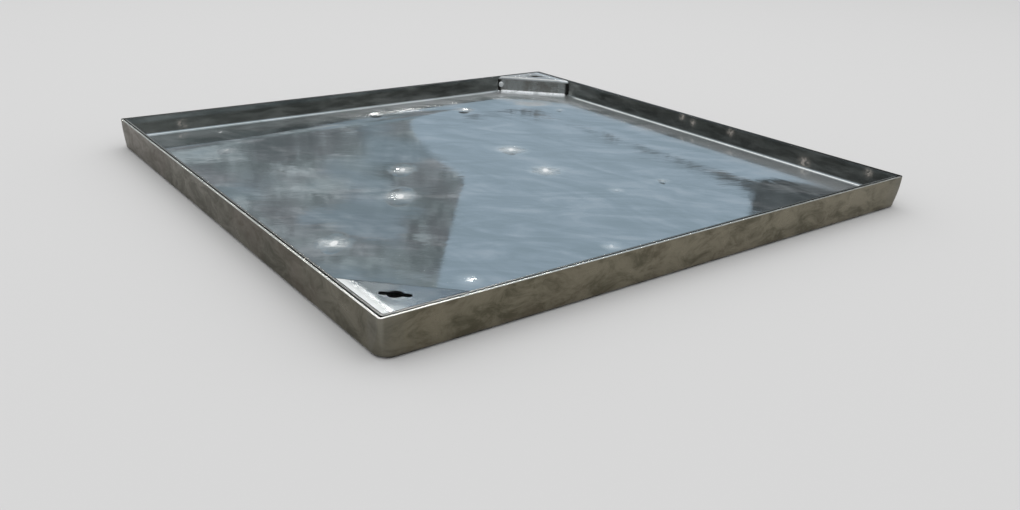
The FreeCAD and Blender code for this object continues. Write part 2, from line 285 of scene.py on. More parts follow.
    def around(
        self, direction: Socket, heading: float, rise: float, edge: float, core: float
    ) -> Socket:
        """A soft round spot on the sky.

        Args:
            direction: The direction looked in.
            heading: The spot's heading, in degrees.
            rise: Its height, in degrees.
            edge: The angle from its middle at which it ends, in degrees.
            core: The angle within which it is full.

        Returns:
            1 in its core and 0 outside its edge.
        """
        turn, climb = math.radians(heading), math.radians(rise)
        flat = math.cos(climb)
        middle = (math.cos(turn) * flat, math.sin(turn) * flat, math.sin(climb))
        ends = (math.cos(math.radians(edge)), math.cos(math.radians(core)))
        return self.ramp(self.along(direction, middle), *ends)

    def metal(self, colour: object, roughness: object, normal: Socket, bare: object = 1.0) -> None:
        """Ends the tree in a metal, of which the share that isn't bare is a frosted haze."""
        inputs = {"Metallic": bare, "Base Color": colour, "Roughness": roughness, "Normal": normal}
        self.finish(self.node("BsdfPrincipled", inputs).outputs[0])

    def finish(self, shader: Socket, kind: str = "Material") -> None:
        """Links a shader to the tree's output."""
        self.node(f"Output{kind}", {"Surface": shader})


def new_material(name: str) -> tuple[Material, Shader]:
    """Makes an empty node material.

    Args:
        name: The material's name.

    Returns:
        The material and the helper that fills it.
    """
    made = bpy.data.materials.new(name)
    made.use_nodes = True
    return made, Shader(made.node_tree)


@dataclass(frozen=True)
class WeldMark:
    """A place where a weld shows through the sheet, in millimetres: a shallow dimple with a paler
    patch round it, partly frosting and partly painted glint haze. Its height is the tray floor's
    unless it is given."""

    across: float
    along: float
    radius: float = 15.0
    depth: float = 1.0
    height: float = 11.5

    @property
    def place(self) -> Triple:
        """Its middle, in metres."""
        return (self.across * MM, self.along * MM, self.height * MM)


FLOOR_MARKS: tuple[WeldMark, ...] = (
    WeldMark(-263, -127),
    WeldMark(-146, -44, 17, 1.2),
    WeldMark(-97, 36, 14),
    WeldMark(61, 41, 16, 1.2),
    WeldMark(44, -49, 17, 1.2),
    WeldMark(5, 281, 12, 0.8),
    WeldMark(127, 245, 13, 0.9),
    WeldMark(-204, -258, 11, 0.55),
    WeldMark(-51, -266, 9, 0.6),
    WeldMark(-237, 209, 10, 0.5),
    WeldMark(-215, 291, 10, 0.5),
    WeldMark(66, -146, 8, 0.4),
    WeldMark(135, -148, 8, 0.4),
    WeldMark(250, 176, 8, 0.4),
)
WALL_MARKS: tuple[WeldMark, ...] = (
    WeldMark(320, 0, 9, height=31),
    WeldMark(320, -20, 8, height=27),
    WeldMark(320, -85, 10, height=30),
    WeldMark(320, -201, 13, height=19),
    WeldMark(320, -286, 9, height=29),
    WeldMark(-253, 320, 11, height=21),
)


@dataclass(frozen=True)
class TraySteel:
    """The tray's smooth mill finish: clear enough to mirror the sky, with slow waves, wiping swirls
    and the marks of the welds, whose pale patches are partly painted glint haze and whose white
    cores are painted glints. Its walls are duller, streaked and heat stained, with painted light
    round the back-left corner and painted shade round the front-right corner. The rim's cut edge
    is dark, with more painted shade on the back and right sides."""

    name: str = "tray_steel"
    light: Colour = (0.61, 0.63, 0.64)
    dull: Colour = (0.49, 0.52, 0.52)
    # Pale colour of the weld marks' patches: partly frosting, partly painted glint haze.
    frost_and_glint_haze: Colour = (0.86, 0.90, 0.91)
    # White of the weld marks' cores: a painted glint.
    core: Colour = (0.95, 0.96, 0.96)
    wall: Colour = (0.37, 0.38, 0.365)
    wall_dark: Colour = (0.20, 0.205, 0.195)
    # Painted light and painted shade on the tray's walls.
    wall_painted_light: Colour = (0.66, 0.66, 0.63)
    wall_painted_shade: Colour = (0.06, 0.06, 0.058)
    heat: Colour = (0.74, 0.66, 0.60)
    # The rim's cut edge: darker than the floor, with painted shade on the back and right sides.
    edge: Colour = (0.26, 0.26, 0.25)
    far_rim_shade: Colour = (0.10, 0.10, 0.10)
    wave_depth: float = 0.45 * MM
    swirl_depth: float = 0.035 * MM
    grain_depth: float = 0.0012 * MM
    mark_grain: float = 0.34 * MM
    crease_length: float = 2.0
    crease_turn: float = -37.2
    mark_haze: float = 0.56
    glint_core_haze: float = 0.85
    smear_haze: float = 0.10
    fold_reach: float = 125 * MM
    fold_slope: float = 0.45
    fold_turn: float = 0.64
    fold_haze: float = 0.38
    side_haze: float = 0.20
    corner_blend: float = 30 * MM
    wiping: Pattern = Pattern(26.0, 4.0, 0.62, 1.4, (3.0, 1.0, 1.0), WIPE_TURN)
    sweeping: Pattern = Pattern(11.0, 3.0, 0.55, 2.4, (1.0, 2.5, 1.0), 20.0)
    swirls: Pattern = Pattern(30.0, 3.0, 0.6, 1.8, (2.4, 1.0, 1.0), WIPE_TURN)
    grain: Pattern = Pattern(900.0, 1.0, lengths=(12.0, 1.0, 1.0), turn=WIPE_TURN)
    waves: Pattern = Pattern(5.0, 1.0, 0.4, 0.3, (1.0, 2.0, 1.0), 18.0)
    wall_streaks: Pattern = Pattern(130.0, 4.0, 0.65, lengths=(5.0, 5.0, 1.0))
    mark_edges: Pattern = Pattern(60.0, 3.0, 0.6)
    stain_flecks: Pattern = Pattern(160.0, 3.0, 0.7)

    def dimples(self, sh: Shader, point: Socket) -> tuple[Socket, Socket, Socket]:
        """Lays out the floor's weld marks.

        Args:
            sh: The material's helper.
            point: The coordinates.

        Returns:
            The dimples' height, in metres, and how much there is of the paler patches, partly
            painted glint haze, and of the white cores in their middles, which are painted glints.
        """
        uneven = sh.swing(sh.noise(point, self.mark_edges), 0.8)
        turned = sh.drawn_out(point, (1.0, self.crease_length, 1.0), self.crease_turn)
        heights, patches, glint_cores = [], [], []
        for mark in FLOOR_MARKS:
            reach = sh.math("DIVIDE", sh.away_from(point, mark.place), mark.radius * MM)
            reach = sh.plus(reach, sh.times(uneven, reach))
            middle = Vector(mark.place)
            middle.rotate(Matrix.Rotation(math.radians(-self.crease_turn), 3, "Z"))
            sideways = sh.away_from(turned, (middle.x, middle.y / self.crease_length, middle.z))
            sideways = sh.math("POWER", sh.math("DIVIDE", sideways, mark.radius * MM), 2.0)
            round_top = sh.math("SUBTRACT", 1.0, sideways, clamp=True)
            heights.append(sh.times(sh.math("POWER", round_top, 2.0), 0.5 * mark.depth * MM))
            # The white cores in the marks' middles are painted glints.
            core = sh.plus(sideways, sh.times(uneven, 0.09))
            glint_cores.append(sh.ramp(core, 0.004, 0.10, min(1.0, 0.9 * mark.depth), 0.0))
            patches.append(sh.ramp(reach, 0.1, 1.6, min(1.0, mark.depth), 0.0))
        return sh.times(sh.most(*heights), -1.0), sh.most(*patches), sh.most(*glint_cores)

    def heat_stains(self, sh: Shader, point: Socket) -> Socket:
        """Lays out the walls' heat stains.

        Args:
            sh: The material's helper.
            point: The coordinates.

        Returns:
            How much stain there is, 0 to 1.
        """
        flecks = sh.noise(point, self.stain_flecks)
        stains = []
        for mark in WALL_MARKS:
            distance = sh.away_from(point, mark.place)
            stains.append(sh.ramp(distance, 0.0, mark.radius * MM, 1.0, 0.0))
        return sh.times(sh.most(*stains), sh.ramp(flecks, 0.34, 0.6))

    def material(self, sizes: CoverSizes) -> Material:
        """Builds the finish.

        Args:
            sizes: The cover's sizes.

        Returns:
            The material.
        """
        made, sh = new_material(self.name)
        point = sh.object_point()
        across, along, height = sh.axes(point)
        on_wall = sh.ramp(height, sizes.floor + 1.5 * MM, sizes.floor + 3.5 * MM)
        outward = sh.most(across, along)
        to_wall = sh.less(sizes.half - sizes.recess_inset, outward)
        to_plate = sh.less(2 * sizes.half - sizes.plate_leg, sh.plus(across, along))
        to_plate = sh.math("DIVIDE", to_plate, math.sqrt(2))
        to_fold = sh.math("SMOOTH_MIN", to_wall, to_plate, self.corner_blend)
        into_fold = sh.less(self.fold_reach, to_fold)
        near_fold = sh.math("DIVIDE", into_fold, self.fold_reach, clamp=True)
        rim = sizes.on_rim(sh, height)
        depth, patches, glint_cores = self.dimples(sh, point)

        wiped = sh.noise(point, self.wiping)
        swept = sh.noise(point, self.sweeping)
        smears = sh.times(sh.plus(wiped, swept), 0.5)
        colour = sh.mix(sh.ramp(smears, 0.38, 0.62), self.dull, self.light)
        # Weld marks paled, partly frosting and partly painted glint haze; their white cores are
        # painted glints.
        colour = sh.mix(sh.times(patches, 0.7), colour, self.frost_and_glint_haze)
        colour = sh.mix(glint_cores, colour, self.core)
        streaks = sh.noise(point, self.wall_streaks)
        wall = sh.mix(sh.ramp(streaks, 0.36, 0.62), self.wall_dark, self.wall)
        round_walls = sh.less(across, along)
        # Painted light round the back-left corner of the walls, painted shade round the front-right
        # corner.
        wall = sh.mix(sh.ramp(round_walls, -0.62, -0.40, 0.34, 0.0), wall, self.wall_painted_light)
        wall = sh.mix(sh.ramp(round_walls, 0.05, 0.35, 0.0, 0.36), wall, self.wall_painted_shade)
        stains = sh.times(self.heat_stains(sh, point), on_wall)
        wall = sh.mix(stains, wall, self.heat)
        colour = sh.mix(on_wall, colour, wall)
        # Painted shade on the rim's edge along the back and right sides.
        far_side = sh.ramp(outward, sizes.half - 12 * MM, sizes.half - 9 * MM)
        colour = sh.mix(rim, colour, sh.mix(far_side, self.edge, self.far_rim_shade))

        waves = sh.noise(point, self.waves)
        swirls = sh.noise(point, self.swirls)
        grain = sh.noise(point, self.grain)
        curved = sh.math("POWER", sh.math("MINIMUM", near_fold, self.fold_turn), 4.0)
        level = sh.most(sh.less(near_fold, self.fold_turn), 0.0)
        # The floor's slope grows with the cube of the way into the fold, and then stays level.
        lift = sh.plus(sh.times(curved, 0.25), sh.times(level, self.fold_turn**3))
        to_right = sh.ramp(across, -0.20, 0.10, 0.62, 1.0)
        lift = sh.times(sh.times(lift, to_right), self.fold_slope * self.fold_reach)
        grain_depth = sh.times(sh.math("POWER", patches, 1.5), self.mark_grain)
        grain_depth = sh.plus(grain_depth, self.grain_depth)
        grain_depth = sh.times(grain_depth, sh.rest(on_wall))
        normal = sh.bump(waves, self.wave_depth)
        normal = sh.bump(swirls, self.swirl_depth, normal)
        normal = sh.bump(sh.times(grain, grain_depth), 1.0, normal)
        normal = sh.bump(sh.plus(depth, lift), 1.0, normal)

        roughness = sh.ramp(smears, 0.36, 0.64, 0.055, 0.026)
        uneven = sh.plus(near_fold, sh.swing(smears, 0.9))
        dulled = sh.times(sh.ramp(uneven, 0.48, 0.86), sh.rest(on_wall))
        dulled = sh.times(dulled, sh.ramp(to_right, 0.6, 1.0, 0.3, 1.0))
        for share, extra in ((patches, 0.02), (dulled, 0.16), (on_wall, 0.16), (rim, 0.1)):
            roughness = sh.plus(roughness, sh.times(share, extra))
        haze = sh.times(patches, sh.ramp(swirls, 0.35, 0.60, 0.10, self.mark_haze))
        haze = sh.plus(haze, sh.ramp(smears, 0.50, 0.64, 0.0, self.smear_haze))
        fold_haze = sh.ramp(sh.less(across, along), 0.0, 0.15, self.fold_haze, self.side_haze)
        glint_cores = sh.times(glint_cores, self.glint_core_haze)
        haze = sh.most(haze, glint_cores, sh.times(dulled, fold_haze), sh.times(stains, 0.4))
        sh.metal(colour, roughness, normal, sh.rest(haze))
        return made


@dataclass(frozen=True)
class FrameSteel:
    """The frame's duller handled sheet, stained olive brown in long smudges, with sheared rim edges
    that are bright on the front and left rails, partly a painted highlight, and carry painted shade
    on the back and right ones, ground metal at the welded corners and painted shade along the foot."""

    name: str = "frame_steel"
    stained: Colour = (0.058, 0.054, 0.033)
    cleaner: Colour = (0.120, 0.109, 0.077)
    brown: Colour = (0.090, 0.070, 0.048)
    ground: Colour = (0.165, 0.160, 0.135)
    weld_line: Colour = (0.26, 0.25, 0.21)
    # Painted shade along the foot.
    foot_shade: Colour = (0.016, 0.015, 0.012)
    # Rim edge: bright on the front and left rails, partly bare metal and partly painted highlight.
    edge: Colour = (0.74, 0.74, 0.70)
    # Painted shade on the rim's edge along the back and right rails.
    far_rim_shade: Colour = (0.09, 0.09, 0.08)
    handled: Colour = (0.245, 0.222, 0.165)
    ground_reach: float = 30 * MM
    ground_line: float = 5 * MM
    foot_shade_height: float = 2.6 * MM
    raggedness: float = 30 * MM
    smudges: Pattern = Pattern(30.0, 6.0, 0.72, 0.6, (1.0, 1.0, 0.5))
    upright: Pattern = Pattern(130.0, 3.0, 0.6, lengths=(1.0, 1.0, 5.0))
    tints: Pattern = Pattern(13.0)
    waves: Pattern = Pattern(9.0, 1.0)
    grain: Pattern = Pattern(700.0)

    def material(self, sizes: CoverSizes) -> Material:
        """Builds the finish.

        Args:
            sizes: The cover's sizes.

        Returns:
            The material.
        """
        made, sh = new_material(self.name)
        point = sh.object_point()
        across, along, height = sh.axes(point)
        smudges = sh.noise(point, self.smudges)
        upright = sh.noise(point, self.upright)
        tint = sh.noise(point, self.tints)
        mottle = sh.plus(sh.times(smudges, 0.95), sh.times(upright, 0.05))
        colour = sh.mix(sh.ramp(mottle, 0.34, 0.67), self.stained, self.cleaner)
        colour = sh.mix(sh.ramp(tint, 0.48, 0.66, 0.0, 0.6), colour, self.brown)

        in_front = sh.ramp(along, 2 * MM - sizes.half, 12 * MM - sizes.half, 1.0, 0.0)
        worn_front = sh.times(in_front, sh.ramp(across, -0.25, 0.0, 0.52, 0.64))
        worn_front = sh.times(worn_front, sh.ramp(across, 0.24, 0.31, 1.0, 0.6))
        worn_left = sh.ramp(along, -0.30, -0.12, 0.26, 0.0)
        worn = sh.most(worn_front, worn_left)
        worn = sh.times(worn, sh.ramp(mottle, 0.36, 0.60, 0.5, 1.3))
        colour = sh.mix(worn, colour, self.handled)
        nearer = sh.math("MINIMUM", sh.math("ABSOLUTE", across), sh.math("ABSOLUTE", along))
        from_corner = sh.less(sizes.half, nearer)
        ragged = sh.plus(from_corner, sh.swing(upright, self.raggedness))
        ground = sh.ramp(ragged, 4 * MM, self.ground_reach, 0.55, 0.0)
        colour = sh.mix(ground, colour, self.ground)
        line = sh.ramp(from_corner, 1 * MM, self.ground_line, 0.6, 0.0)
        colour = sh.mix(line, colour, self.weld_line)
        # Painted shade along the foot, darker towards the bottom.
        low = sh.plus(height, sh.swing(smudges, 2.5 * MM))
        colour = sh.mix(sh.ramp(low, 0.8 * MM, self.foot_shade_height, 1.0, 0.0), colour, self.foot_shade)
        # Rim edge: partly painted highlight on the front and left rails, painted shade on the back
        # and right.
        rim = sizes.on_rim(sh, height)
        outward = sh.most(across, along)
        far_side = sh.ramp(outward, sizes.half - 6 * MM, sizes.half - 4 * MM)
        colour = sh.mix(rim, colour, sh.mix(far_side, self.edge, self.far_rim_shade))

        normal = sh.bump(sh.noise(point, self.waves), 1.0 * MM)
        normal = sh.bump(smudges, 0.10 * MM, normal)
        normal = sh.bump(sh.noise(point, self.grain), 0.012 * MM, normal)
        sh.metal(colour, sh.ramp(mottle, 0.35, 0.65, 0.42, 0.27), normal)
        return made


@dataclass(frozen=True)
class PlateSteel:
    """The lifting corners' folded plates. Each top is a little out of level and tinted to the tone
    of its own reflection, a painted reflection; its edge beside the left or right rail is dressed
    down and paled as a painted highlight, and its wall is stained by the welds, with painted shade
    at its ends beside the tray walls."""

    name: str = "plate_steel"
    light: Colour = (0.50, 0.52, 0.53)
    dull: Colour = (0.36, 0.38, 0.39)
    # Painted reflection tones: bluish dark on the near plate's top, warm on the far one.
    near_reflection_tone: Colour = (0.10, 0.13, 0.15)
    far_reflection_tone: Colour = (0.52, 0.49, 0.46)
    wall: Colour = (0.47, 0.49, 0.49)
    wall_stain: Colour = (0.31, 0.305, 0.29)
    # Pale colour of the dressed edge: a painted highlight.
    dressed_highlight: Colour = (0.86, 0.88, 0.88)
    # Painted shade at the wall's ends.
    end_shade: Colour = (0.030, 0.029, 0.027)
    near_lean: Triple = (0.045, -0.034, 0.0)
    far_lean: Triple = (-0.128, -0.160, 0.0)
    dressed_width: float = 8.5 * MM
    dressed_radius: float = 20 * MM
    between: float = 100 * MM
    clouds: Pattern = Pattern(38.0, 3.0, 0.6, 1.2, (2.5, 1.0, 1.0), WIPE_TURN)
    stains: Pattern = Pattern(90.0, 4.0, 0.65, lengths=(1.0, 1.0, 1.8))
    waves: Pattern = Pattern(14.0, 1.0)
    brushing: Pattern = Pattern(700.0, 1.0, lengths=(30.0, 1.0, 1.0), turn=-45.0)

    def by_corner(self, sh: Shader, across: Socket, near: float, far: float) -> Socket:
        """One number on the near plate and another on the far one."""
        return sh.ramp(across, -self.between, self.between, near, far)

    def top_shape(self, sh: Shader, point: Socket, inset: float) -> Socket:
        """The height of the plates' tops, in metres, over a level one.

        Args:
            sh: The material's helper.
            point: The coordinates.
            inset: How far the dressed edges are from the middle of the cover.

        Returns:
            The height.
        """
        across, _, _ = sh.axes(point)
        lean_near = sh.times(sh.along(point, self.near_lean), -1.0)
        lean_far = sh.times(sh.along(point, self.far_lean), -1.0)
        far = sh.math("GREATER_THAN", across, 0.0)
        near = sh.rest(far)
        lean = sh.plus(sh.times(far, lean_far), sh.times(near, lean_near))
        from_edge = sh.less(inset, sh.math("ABSOLUTE", across))
        into = sh.most(sh.less(self.dressed_width, from_edge), 0.0)
        drop = sh.math("DIVIDE", sh.times(into, into), 2 * self.dressed_radius)
        return sh.less(lean, drop)

    def material(self, sizes: CoverSizes) -> Material:
        """Builds the finish.

        Args:
            sizes: The cover's sizes.

        Returns:
            The material.
        """
        made, sh = new_material(self.name)
        point = sh.object_point()
        across, along, height = sh.axes(point)
        cloud = sh.noise(point, self.clouds)
        top = sh.mix(sh.ramp(cloud, 0.35, 0.65), self.dull, self.light)
        # Each plate's top tinted to the tone of its own reflection: painted reflection.
        top = sh.mix(self.by_corner(sh, across, 0.45, 0.0), top, self.near_reflection_tone)
        top = sh.mix(self.by_corner(sh, across, 0.0, 0.5), top, self.far_reflection_tone)
        stains = sh.noise(point, self.stains)
        wall = sh.mix(sh.ramp(stains, 0.38, 0.62), self.wall, self.wall_stain)
        edge = sizes.half - sizes.recess_inset
        reach = sh.most(sh.math("ABSOLUTE", across), sh.math("ABSOLUTE", along))
        to_end = sh.less(edge, reach)
        # Painted shade at the wall's ends, in the gaps beside the tray walls.
        to_end_shade = sh.plus(to_end, sh.swing(stains, 4 * MM))
        shaded_ends = sh.ramp(to_end_shade, 2.5 * MM, 5.0 * MM, 1.0, 0.0)
        wall = sh.mix(shaded_ends, wall, self.end_shade)
        on_wall = sh.ramp(height, sizes.height - 4.5 * MM, sizes.height - 2.5 * MM, 1.0, 0.0)
        colour = sh.mix(on_wall, top, wall)

        normal = sh.bump(self.top_shape(sh, point, edge), 1.0)
        normal = sh.bump(sh.noise(point, self.waves), 0.5 * MM, normal)
        normal = sh.bump(sh.noise(point, self.brushing), 0.006 * MM, normal)
        strip = sh.less(edge, sh.math("ABSOLUTE", across))
        strip = sh.ramp(strip, 0.8 * self.dressed_width, 1.45 * self.dressed_width, 1.0, 0.0)
        strip = sh.times(strip, sh.rest(on_wall))
        # The dressed edge is paled: a painted highlight.
        colour = sh.mix(sh.times(strip, 0.5), colour, self.dressed_highlight)
        roughness = sh.ramp(cloud, 0.3, 0.7, 0.16, 0.09)
        for share, extra in ((on_wall, 0.16), (strip, 0.12)):
            roughness = sh.plus(roughness, sh.times(share, extra))
        bare = sh.less(self.by_corner(sh, across, 0.97, 0.78), sh.times(strip, 0.04))
        sh.metal(colour, roughness, normal, bare)
        return made


@dataclass(frozen=True)
class PlainMetal:
    """A metal of two cloudy tints over a fine grain, with where the one changes to the other in the
    clouds, how rough it is in each, and how bare."""

    name: str
    first: Colour
    second: Colour
    clouds: Pattern
    grain: Pattern
    grain_depth: float
    change: tuple[float, float]
    roughness: tuple[float, float]
    bare: float = 1.0

    def material(self) -> Material:
        """Builds the finish.

        Returns:
            The material.
        """
        made, sh = new_material(self.name)
        point = sh.object_point()
        tint = sh.noise(point, self.clouds)
        colour = sh.mix(sh.ramp(tint, *self.change), self.first, self.second)
        normal = sh.bump(sh.noise(point, self.grain), self.grain_depth)
        sh.metal(colour, sh.ramp(tint, 0.3, 0.7, *self.roughness), normal, self.bare)
        return made


# Weld beads and balls, near white: partly bare weld metal, partly a painted glint.
WELD_METAL_GLINT = PlainMetal(
    name="weld_metal",
    first=(0.92, 0.93, 0.94),
    second=(0.62, 0.64, 0.64),
    clouds=Pattern(60.0, 3.0),
    grain=Pattern(500.0),
    grain_depth=0.04 * MM,
    change=(0.5, 0.7),
    roughness=(0.26, 0.40),
    bare=0.35,
)
STIFFENER_STEEL = PlainMetal(
    name="stiffener_steel",
    first=(0.36, 0.37, 0.36),
    second=(0.50, 0.51, 0.51),
    clouds=Pattern(26.0, 4.0, 0.6, lengths=(3.0, 1.0, 1.0)),
    grain=Pattern(600.0, 1.0, lengths=(30.0, 1.0, 1.0)),
    grain_depth=0.01 * MM,
    change=(0.35, 0.65),
    roughness=(0.36, 0.26),
)


@dataclass(frozen=True)
class SealRubber:
    """Matt black rubber with a dusty bloom."""

    name: str = "seal_rubber"
    black: Colour = (0.018, 0.018, 0.019)
    bloom: Colour = (0.060, 0.058, 0.055)
    dust: Pattern = Pattern(55.0, 5.0, 0.65)
    grain: Pattern = Pattern(900.0)

    def material(self) -> Material:
        """Builds the finish.

        Returns:
            The material.
        """
        made, sh = new_material(self.name)
        point = sh.object_point()
        dust = sh.noise(point, self.dust)
        inputs = {
            "Base Color": sh.mix(sh.ramp(dust, 0.4, 0.75), self.black, self.bloom),
            "Roughness": sh.ramp(dust, 0.3, 0.7, 0.62, 0.85),
            "Normal": sh.bump(sh.noise(point, self.grain), 0.05 * MM),
        }
        sh.finish(sh.node("BsdfPrincipled", inputs).outputs[0])
        return made


class Finishes:
    """Every finish of the cover, each made once."""

    def __init__(self, sizes: CoverSizes) -> None:
        """Makes the materials.

        Args:
            sizes: The cover's sizes.
        """
        self.tray = TraySteel().material(sizes)
        self.frame = FrameSteel().material(sizes)
        self.plate = PlateSteel().material(sizes)
        self.weld = WELD_METAL_GLINT.material()
        self.stiffener = STIFFENER_STEEL.material()
        self.seal = SealRubber().material()


def add_piece(name: str, mesh: Shape, material: Material) -> Piece:
    """Turns a bmesh into a finished piece that rides on the cover.

    Args:
        name: The piece's name.
        mesh: Its shape, in the cover's own coordinates. It is freed.
        material: Its finish.

    Returns:
        The new object.
    """
    data = bpy.data.meshes.new(name)
    mesh.to_mesh(data)
    mesh.free()
    data.materials.append(material)
    piece = bpy.data.objects.new(name, data)
    bpy.context.scene.collection.objects.link(piece)
    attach(piece, "root")
    return piece


@dataclass
class SheetPart:
    """A folded sheet: the CAD node's shape, its cut edges eased and its bends shaded smooth."""

    node: str
    slot: str
    easing: float = 0.25 * MM
    sharp_from: float = 50.0
    smooth_below: float = 32.0

    def fold(self, edge: bmesh.types.BMEdge) -> float:
        """The angle between an edge's two faces, in degrees."""
        return math.degrees(edge.calc_face_angle(0.0))

    def build(self, material: Material) -> Piece:
        """Makes the piece that stands for the node.

        Args:
            material: Its finish.

        Returns:
            The new object, which replaces the node.
        """
        shape = bmesh.new()
        shape.from_mesh(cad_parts[self.node].data)
        bmesh.ops.remove_doubles(shape, verts=shape.verts, dist=0.002 * MM)
        bmesh.ops.dissolve_limit(
            shape, angle_limit=math.radians(0.2), verts=shape.verts, edges=shape.edges
        )
        cut_edges = [edge for edge in shape.edges if self.fold(edge) > self.sharp_from]
        bmesh.ops.bevel(
            shape, geom=cut_edges, offset=self.easing, offset_type="OFFSET", affect="EDGES",
            segments=2, profile=0.5, material=-1, clamp_overlap=True,
        )
        for face in shape.faces:
            face.smooth = True
        for edge in shape.edges:
            edge.smooth = self.fold(edge) < self.smooth_below
        piece = add_piece(f"{self.node}_sheet", shape, material)
        shading = piece.modifiers.new("fold_shading", "WEIGHTED_NORMAL")
        shading.mode = "FACE_AREA"
        shading.keep_sharp = True
        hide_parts(self.node)
        LOG.info("%s stands for %s", piece.name, self.node)
        return piece


@dataclass
class Frame:
    """The four mitred rails."""

    sides: tuple[Side, ...] = tuple(Side)

    def build(self, finishes: Finishes) -> list[Piece]:
        """Makes the rails and gives back their pieces."""
        rails = [SheetPart(f"frame_rail_{side.value}", "frame_steel") for side in self.sides]
        return [rail.build(finishes.frame) for rail in rails]


@dataclass
class Tray:
    """The tray's pan, with its stiffeners below."""

    stiffener_count: int = 6

    def build(self, finishes: Finishes) -> list[Piece]:
        """Makes the pan and the stiffeners.

        Args:
            finishes: The cover's finishes.

        Returns:
            Their pieces.
        """
        made = [SheetPart("tray_pan", "tray_steel").build(finishes.tray)]
        for number in range(1, self.stiffener_count + 1):
            part = SheetPart(f"stiffener_{number}", "stiffener_steel", easing=0.15 * MM)
            made.append(part.build(finishes.stiffener))
        return made


@dataclass(frozen=True)
class WeldBall:
    """A ball of weld metal: where it is in its corner's own axes and its half sizes."""

    place: Triple
    size: Triple


@dataclass
class LiftingCorner:
    """One boxed corner: its keyhole plate, the bead along the foot of its wall, and the balls of
    weld metal at the bead's ends and halfway up one upright edge of the wall. The place, width and
    depth of the bead's drops are shares of the weld's leg, and their length is in ripples."""

    which: Corner
    sizes: CoverSizes
    ripple: float = 1.7 * MM
    drop_place: float = 0.34
    drop_width: float = 1.38
    drop_depth: float = 1.02
    drop_length: float = 1.9
    apex_gap: float = 0.5 * MM

    @property
    def name(self) -> str:
        """The corner's name, as in its nodes."""
        return self.which.name.lower()

    def local_to_cover(self) -> Matrix:
        """The move to the cover's axes from the corner's, X to the middle and Y along the wall."""
        turn = math.radians(45.0 if self.which is Corner.NEAR else 225.0)
        return Matrix.Translation(self.sizes.corner(self.which)) @ Matrix.Rotation(turn, 4, "Z")

    def wall_distance(self) -> float:
        """How far the wall's outer face is from the frame's corner."""
        return self.sizes.plate_leg / math.sqrt(2)

    def wall_half_length(self) -> float:
        """Half the length of the wall's foot, between its notches."""
        apex = (self.sizes.recess_inset + self.apex_gap) * math.sqrt(2)
        return self.wall_distance() - apex - self.sizes.foot_notch

    def lay(self, shape: Shape, ball: WeldBall, lean: float = 0.0) -> None:
        """Adds one ball to a shape.

        Args:
            shape: The shape, in the corner's own axes.
            ball: The ball.
            lean: How far it is turned about the wall's length, in degrees.
        """
        made = bmesh.ops.create_uvsphere(shape, u_segments=14, v_segments=9, radius=1.0)
        bmesh.ops.scale(shape, vec=ball.size, verts=made["verts"])
        turn = Matrix.Rotation(math.radians(lean), 3, "Y")
        bmesh.ops.rotate(shape, cent=(0, 0, 0), matrix=turn, verts=made["verts"])
        bmesh.ops.translate(shape, vec=ball.place, verts=made["verts"])

    def finished(self, shape: Shape) -> Shape:
        """Cuts a shape off at the tray's floor, moves it into the cover and shades it smooth.

        Args:
            shape: The shape, in the corner's own axes.

        Returns:
            The same shape, in the cover's.
        """
        bmesh.ops.bisect_plane(
            shape, geom=[*shape.verts, *shape.edges, *shape.faces],
            plane_co=(0, 0, 0), plane_no=(0, 0, -1), clear_outer=True,
        )
        shape.transform(self.local_to_cover())
        for face in shape.faces:
            face.smooth = True
        return shape

    def bead(self) -> Shape:
        """Lays a bead along the foot of the wall, of flattened drops that run into each other.

        Returns:
            Its shape, in the cover's own coordinates.
        """
        shape = bmesh.new()
        half = self.wall_half_length()
        leg = self.sizes.weld_leg
        count = round(2 * half / self.ripple)
        for index in range(count):
            along = -half + (index + 0.5) * 2 * half / count
            swell = 1.0 + 0.07 * math.sin(2.1 * index) + 0.05 * math.sin(5.3 * index)
            out = self.drop_place * leg
            place = (self.wall_distance() + out, along, out)
            width, depth = self.drop_width * leg * swell, self.drop_depth * leg * swell
            size = (width, self.drop_length * self.ripple, depth)
            self.lay(shape, WeldBall(place, size), 45.0)
        return self.finished(shape)

    def balls(self) -> Shape:
        """Makes the balls at the bead's ends, and the larger one on the wall's upright edge.

        Returns:
            Their shape, in the cover's own coordinates.
        """
        shape = bmesh.new()
        foot = self.wall_half_length()
        end = foot + self.sizes.foot_notch
        face = self.wall_distance()
        at_foot = (face + 0.9 * MM, foot, 1.3 * MM)
        at_end = (face + 0.8 * MM, 1.2 * MM - end, 1.2 * MM)
        on_edge = (face, 4.6 * MM - end, 12.0 * MM)
        self.lay(shape, WeldBall(at_foot, (2.0 * MM, 1.9 * MM, 2.0 * MM)))
        self.lay(shape, WeldBall(at_end, (1.5 * MM, 1.5 * MM, 1.5 * MM)))
        self.lay(shape, WeldBall(on_edge, (1.8 * MM, 4.0 * MM, 4.2 * MM)))
        return self.finished(shape)

    def build(self, finishes: Finishes) -> list[Piece]:
        """Makes the corner's pieces.

        Args:
            finishes: The cover's finishes.

        Returns:
            The pieces.
        """
        plate = SheetPart(f"key_plate_{self.name}", "plate_steel").build(finishes.plate)
        bead = add_piece(f"foot_bead_{self.name}", self.bead(), finishes.weld)
        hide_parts(f"foot_weld_{self.name}")
        balls = add_piece(f"weld_balls_{self.name}", self.balls(), finishes.weld)
        LOG.info("lifting corner %s has its bead and balls", self.name)
        return [plate, bead, balls]


